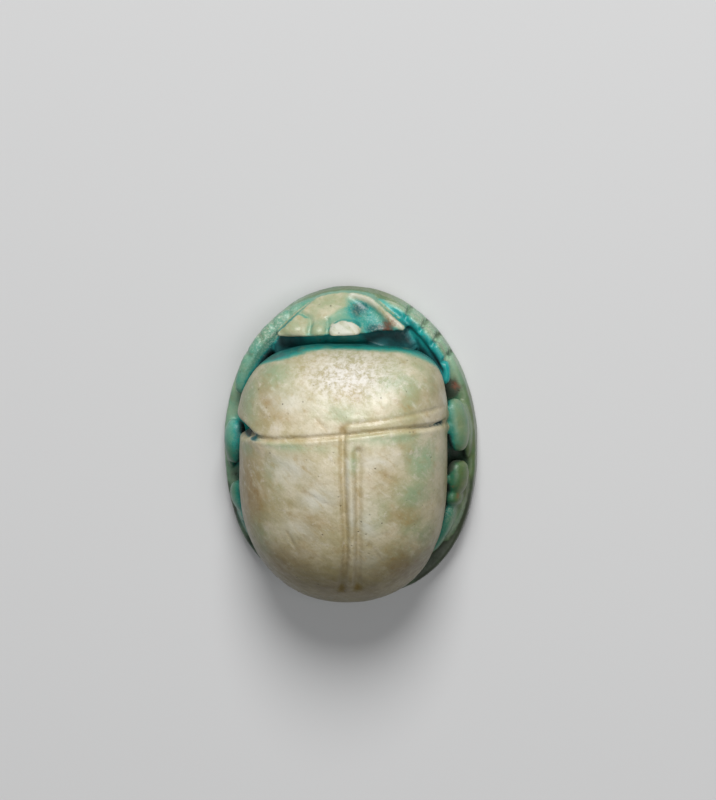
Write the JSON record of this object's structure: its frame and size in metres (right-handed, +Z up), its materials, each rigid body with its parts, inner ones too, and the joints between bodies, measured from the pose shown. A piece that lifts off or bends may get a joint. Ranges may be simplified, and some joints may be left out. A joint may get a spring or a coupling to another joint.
{
  "type": "scarab amulet",
  "caption": "Small glazed steatite scarab beetle with folded legs on an oval base, lying on its flat underside as a loose amulet.",
  "frame": {"origin": "centre of the flat oval underside", "axes": "+Z up out of the beetle's back, +Y along the length towards the head, +X to the beetle's right"},
  "size_m": [0.0132, 0.0162, 0.0074],
  "materials": {
    "glazed_steatite": "satin"
  },
  "bodies": {
    "root": {"scarab": "glazed_steatite"}
  },
  "joints": []
}
